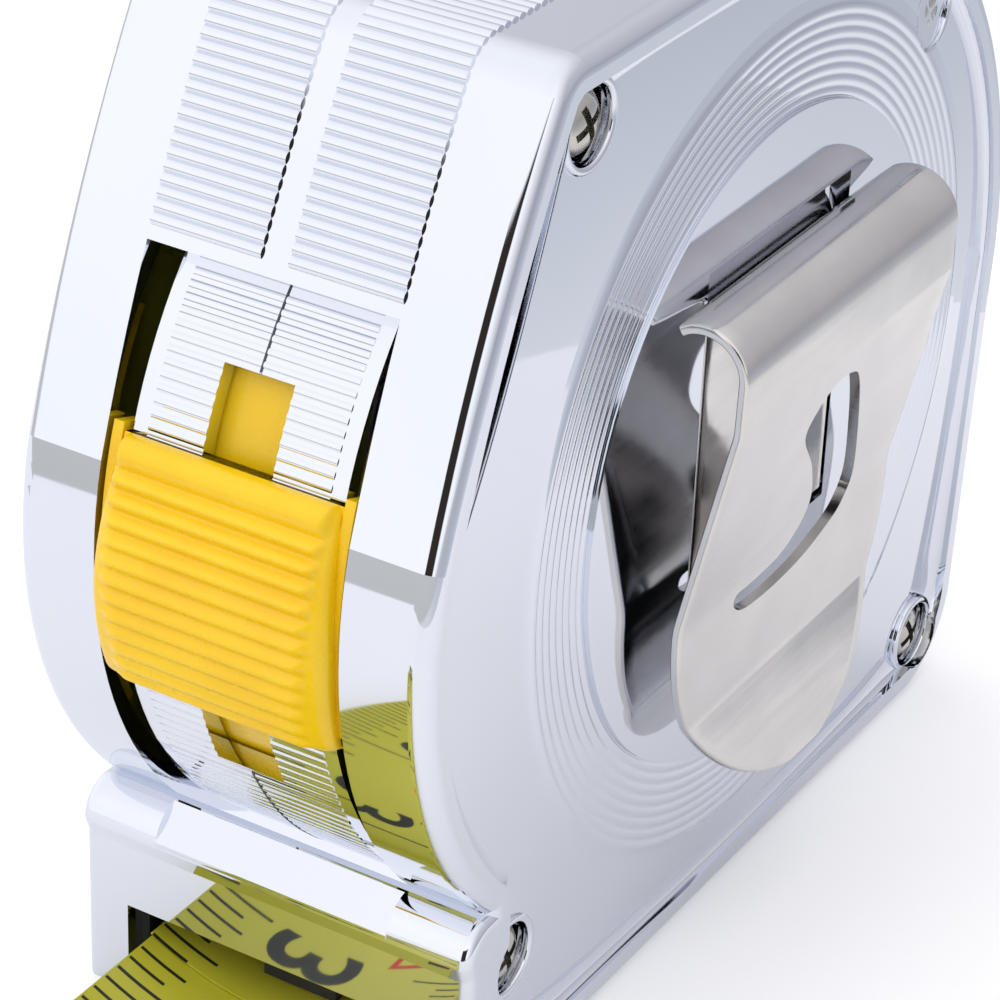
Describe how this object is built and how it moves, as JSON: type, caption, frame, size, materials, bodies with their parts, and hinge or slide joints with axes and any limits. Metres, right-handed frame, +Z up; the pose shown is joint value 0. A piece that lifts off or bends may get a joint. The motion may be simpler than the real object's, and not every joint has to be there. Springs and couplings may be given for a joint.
{
  "type": "tape measure",
  "caption": "Chrome-cased pocket tape measure with a ribbed yellow thumb lock, spring reel, curved steel blade with end hook, and a spring belt clip.",
  "frame": {"origin": "on the flat base, straight below the reel's axle and half way across the case", "axes": "+Z up from the base; -Y the way the blade leaves; +X towards the belt clip"},
  "size_m": [0.0442, 0.1698, 0.088],
  "materials": {
    "chrome_plate": "mirror-bright plated moulding",
    "screw_steel": "nickel-plated",
    "spring_steel": "satin",
    "lock_plastic": "semi-gloss yellow",
    "blade_paint": "satin olive-yellow enamel",
    "black_plastic": "matte",
    "dark_steel": "blued",
    "inner_plastic": "natural",
    "pad_rubber": "matte",
    "trim_label": "satin"
  },
  "bodies": {
    "case": {"case_half_left": "chrome_plate", "case_half_right": "chrome_plate", "case_screws": "screw_steel", "centre_post": "screw_steel", "mouth_lining": "black_plastic", "label_disc": "trim_label", "belt_clip_leg": "spring_steel", "blade_run": "blade_paint"},
    "reel": {"reel_drum": "inner_plastic", "drum_cover": "inner_plastic", "power_spring": "dark_steel", "spring_pin": "screw_steel", "blade_coil": "blade_paint", "reel_washer_left": "inner_plastic", "reel_washer_right": "inner_plastic"},
    "blade": {"blade": "blade_paint", "hook_rivets": "screw_steel"},
    "hook": {"end_hook": "spring_steel"},
    "lock": {"lock_slider": "lock_plastic", "lock_carrier": "lock_plastic"},
    "brake": {"brake_lever": "black_plastic", "brake_pad": "pad_rubber"},
    "clip": {"belt_clip_leaf": "spring_steel"}
  },
  "joints": [
    {"name": "reel_spin", "type": "hinge", "parent": "case", "child": "reel", "pos_m": [0, 0, 0.043], "axis": [1, 0, 0], "range_deg": [0, 126]},
    {"name": "blade_slide", "type": "slide", "parent": "case", "child": "blade", "axis": [0, 1, 0], "range_m": [0, 0.066]},
    {"name": "hook_slide", "type": "slide", "parent": "blade", "child": "hook", "axis": [0, 1, 0], "range_m": [0, 0.001]},
    {"name": "lock_slide", "type": "hinge", "parent": "case", "child": "lock", "pos_m": [0, -0.0145, 0.045], "axis": [-1, 0, 0], "range_deg": [0, 14]},
    {"name": "brake_pivot", "type": "hinge", "parent": "case", "child": "brake", "pos_m": [0, -0.0364, 0.0121], "axis": [-1, 0, 0], "range_deg": [0, 4.6]},
    {"name": "clip_flex", "type": "hinge", "parent": "case", "child": "clip", "pos_m": [0.02145, 0, 0.05745], "axis": [0, -1, 0], "range_deg": [0, 8], "stiffness_Nm_per_rad": 2.4}
  ],
  "couplings": [
    {"joint": "blade_slide", "follows": "reel_spin", "m_per_rad": 0.03},
    {"joint": "brake_pivot", "follows": "lock_slide", "ratio": 0.327}
  ]
}
